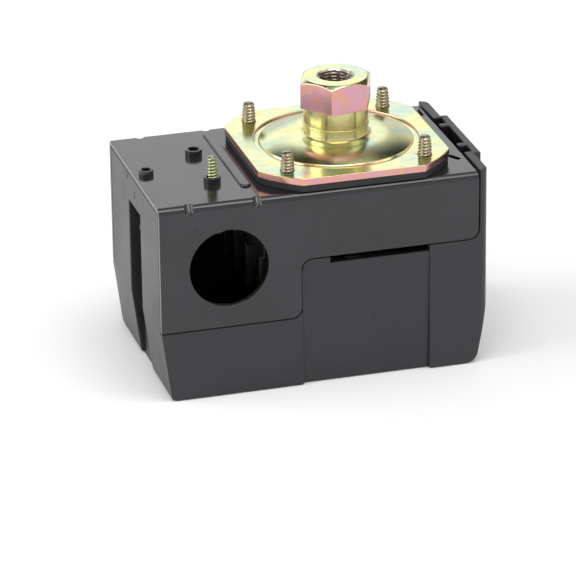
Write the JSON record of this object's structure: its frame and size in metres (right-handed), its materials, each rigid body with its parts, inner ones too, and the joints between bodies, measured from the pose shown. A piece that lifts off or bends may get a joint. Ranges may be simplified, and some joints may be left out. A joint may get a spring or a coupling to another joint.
{
  "type": "pressure switch",
  "caption": "Pressure switch with a steel base plate, a flanged hexagonal pressure port, conduit entries, an off lever and a plastic cover over a lever mechanism and contacts.",
  "frame": {"origin": "on the pressure port's axis, where the thread starts inside its mouth", "axes": "+Z out of the pressure port along its axis, +X along the switch's length, from the conduit entries towards the port, +Y from the front to the back"},
  "size_m": [0.0952, 0.056, 0.0791],
  "materials": {
    "black_enamel_steel": "glossy black enamel",
    "charcoal_plastic": "satin dark charcoal",
    "yellow_zinc_steel": "yellow chromated zinc plate with pink and green tints",
    "pale_zinc_steel": "pale yellow zinc plate",
    "green_zinc_steel": "green dyed zinc plate",
    "bright_zinc_steel": "bright zinc plate",
    "spring_steel": "oiled spring steel",
    "black_rubber": "matt black rubber",
    "brass": "plain brass",
    "silver_contact": "dull silver",
    "black_phenolic": "moulded black",
    "ivory_plastic": "moulded ivory"
  },
  "bodies": {
    "base": {"base_plate": "black_enamel_steel", "pressure_flange": "yellow_zinc_steel", "port_fitting": "yellow_zinc_steel", "diaphragm": "black_rubber", "flange_screws": "pale_zinc_steel", "ground_screw": "green_zinc_steel", "ground_washer": "pale_zinc_steel", "mechanism_frame": "bright_zinc_steel", "pivot_pin": "bright_zinc_steel", "pivot_clip": "spring_steel", "range_stud": "pale_zinc_steel", "range_spring": "spring_steel", "differential_stud": "pale_zinc_steel", "differential_spring": "spring_steel", "contact_block": "black_phenolic", "terminal_strips": "brass", "fixed_contacts": "silver_contact", "terminal_clamps": "brass", "terminal_screws": "brass", "block_screws": "pale_zinc_steel", "snap_spring": "spring_steel", "off_lever_pin": "bright_zinc_steel", "cover_posts": "pale_zinc_steel"},
    "cover": {"cover": "charcoal_plastic", "cover_screws": "bright_zinc_steel"},
    "main_lever": {"main_lever": "bright_zinc_steel"},
    "piston": {"piston": "brass"},
    "carrier": {"contact_carrier": "ivory_plastic", "contact_bars": "brass", "moving_contacts": "silver_contact", "contact_springs": "spring_steel"},
    "range_seat": {"range_seat": "bright_zinc_steel"},
    "range_nut": {"range_nut": "pale_zinc_steel"},
    "differential_seat": {"differential_seat": "bright_zinc_steel"},
    "differential_nut": {"differential_nut": "pale_zinc_steel"},
    "off_lever": {"off_lever": "bright_zinc_steel"}
  },
  "joints": [
    {"name": "cover_slide", "type": "slide", "parent": "base", "child": "cover", "axis": [0, 0, -1], "range_m": [0, 0.06]},
    {"name": "lever_pivot", "type": "hinge", "parent": "base", "child": "main_lever", "pos_m": [0.0275, 0, -0.03155], "axis": [0, -1, 0], "range_deg": [0, 2.5], "stiffness_Nm_per_rad": 0.86, "springref_deg": -5.73, "deforming": ["range_spring", "differential_spring"]},
    {"name": "piston_slide", "type": "slide", "parent": "base", "child": "piston", "axis": [0, 0, -1], "range_m": [0, 0.0013]},
    {"name": "carrier_slide", "type": "slide", "parent": "base", "child": "carrier", "axis": [0, 0, -1], "range_m": [0, 0.0019], "deforming": ["snap_spring"]},
    {"name": "range_seat_slide", "type": "slide", "parent": "base", "child": "range_seat", "axis": [0, 0, 1], "range_m": [0, 0.005]},
    {"name": "range_nut_turn", "type": "hinge", "parent": "range_seat", "child": "range_nut", "pos_m": [0.0165, -0.0063, -0.06255], "axis": [0, 0, 1], "range_deg": [0, 1805]},
    {"name": "differential_seat_slide", "type": "slide", "parent": "base", "child": "differential_seat", "axis": [0, 0, 1], "range_m": [0, 0.0028]},
    {"name": "differential_nut_turn", "type": "hinge", "parent": "differential_seat", "child": "differential_nut", "pos_m": [0.0165, 0.008, -0.05225], "axis": [0, 0, 1], "range_deg": [0, 1445]},
    {"name": "off_lever_pivot", "type": "hinge", "parent": "base", "child": "off_lever", "pos_m": [-0.0345, 0.0033, -0.03905], "axis": [0, 1, 0], "range_deg": [0, 8.5]}
  ],
  "couplings": [
    {"joint": "piston_slide", "follows": "lever_pivot", "m_per_rad": 0.0275},
    {"joint": "carrier_slide", "follows": "lever_pivot", "m_per_rad": 0.0425},
    {"joint": "range_nut_turn", "follows": "range_seat_slide", "rad_per_m": 6283.2},
    {"joint": "differential_nut_turn", "follows": "differential_seat_slide", "rad_per_m": 8976}
  ]
}
